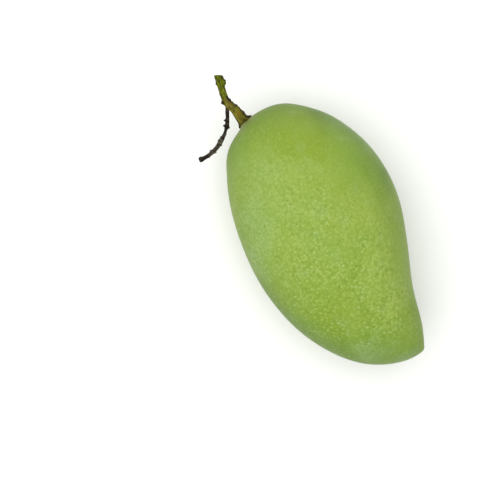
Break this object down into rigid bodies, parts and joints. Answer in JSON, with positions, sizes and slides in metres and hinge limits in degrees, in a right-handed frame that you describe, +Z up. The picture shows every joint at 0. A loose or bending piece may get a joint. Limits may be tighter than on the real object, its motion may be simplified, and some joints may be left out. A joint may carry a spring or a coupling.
{
  "type": "mango",
  "caption": "Whole green mango lying on one cheek, with a hollowed side before its beak, a short olive stalk stub and a thin dry twig beside it.",
  "frame": {"origin": "centre of the small flat resting spot on the lower cheek, under the fruit's centre of weight", "axes": "+X along the fruit from its stalk end to its beak, +Y to the side that hollows in before the beak, +Z up out of the surface that it lies on"},
  "size_m": [0.1519, 0.0762, 0.0648],
  "materials": {
    "mango_skin": "smooth waxy skin with a soft satin sheen and small pale dots",
    "green_stalk": "rough living stalk, olive green with brown patches",
    "dry_twig": "wrinkled, dry and dull, near black"
  },
  "bodies": {
    "root": {"fruit": "mango_skin", "stalk": "green_stalk", "dry_twig": "dry_twig"}
  },
  "joints": []
}
